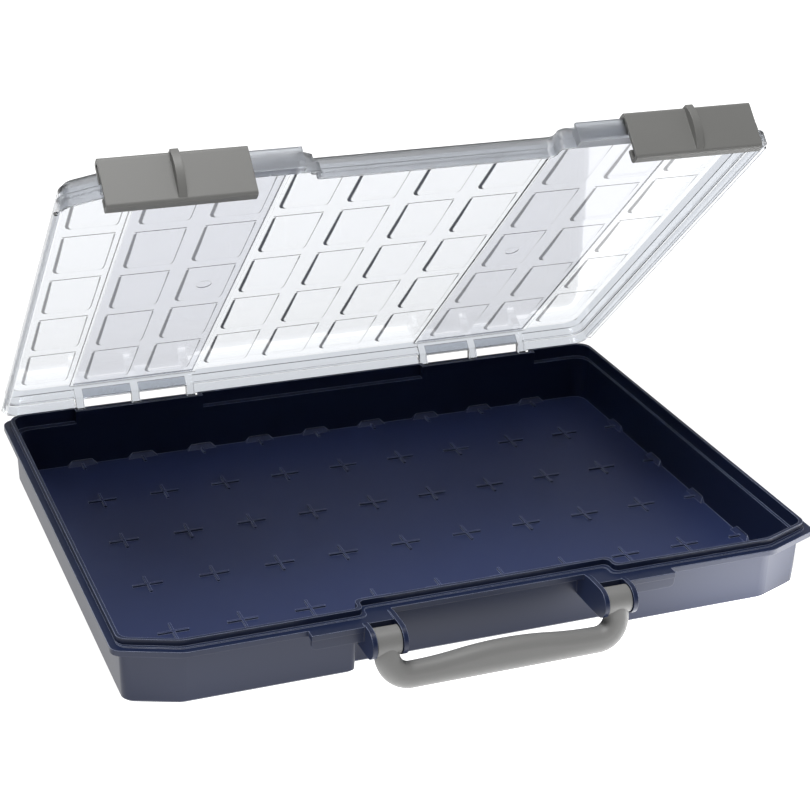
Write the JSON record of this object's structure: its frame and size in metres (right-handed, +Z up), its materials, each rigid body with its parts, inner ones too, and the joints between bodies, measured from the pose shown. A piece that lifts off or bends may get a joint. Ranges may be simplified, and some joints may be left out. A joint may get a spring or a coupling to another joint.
{
  "type": "storage box",
  "caption": "Flat assortment case with a dark tray, a clear lid on rear hinges, sliding latches on the lid's front edge and a swinging carry handle.",
  "frame": {"origin": "centre of the compartment grid, on the tray's underside", "axes": "+X to the right along the hinge, -Y towards the handle, +Z up"},
  "size_m": [0.412, 0.343, 0.2702],
  "materials": {
    "navy_plastic": "fine moulded grain, dark navy",
    "clear_plastic": "clear, polished",
    "grey_plastic": "fine moulded grain, mid grey",
    "pin_steel": "plain drawn steel"
  },
  "bodies": {
    "tray": {"tray": "navy_plastic", "hinge_pin_left": "pin_steel", "hinge_pin_right": "pin_steel"},
    "lid": {"lid": "clear_plastic"},
    "latch_left": {"latch_left": "grey_plastic"},
    "latch_right": {"latch_right": "grey_plastic"},
    "handle": {"handle": "grey_plastic"}
  },
  "joints": [
    {"name": "lid_hinge", "type": "hinge", "parent": "tray", "child": "lid", "pos_m": [0, 0.152, 0.0325], "axis": [-1, 0, 0], "range_deg": [-44, 66]},
    {"name": "latch_left_slide", "type": "slide", "parent": "lid", "child": "latch_left", "axis": [1, 0, 0], "range_m": [0, 0.026]},
    {"name": "latch_right_slide", "type": "slide", "parent": "lid", "child": "latch_right", "axis": [-1, 0, 0], "range_m": [0, 0.026]},
    {"name": "handle_swing", "type": "hinge", "parent": "tray", "child": "handle", "pos_m": [0, -0.1696, 0.0278], "axis": [-1, 0, 0], "range_deg": [-35, 100]}
  ]
}
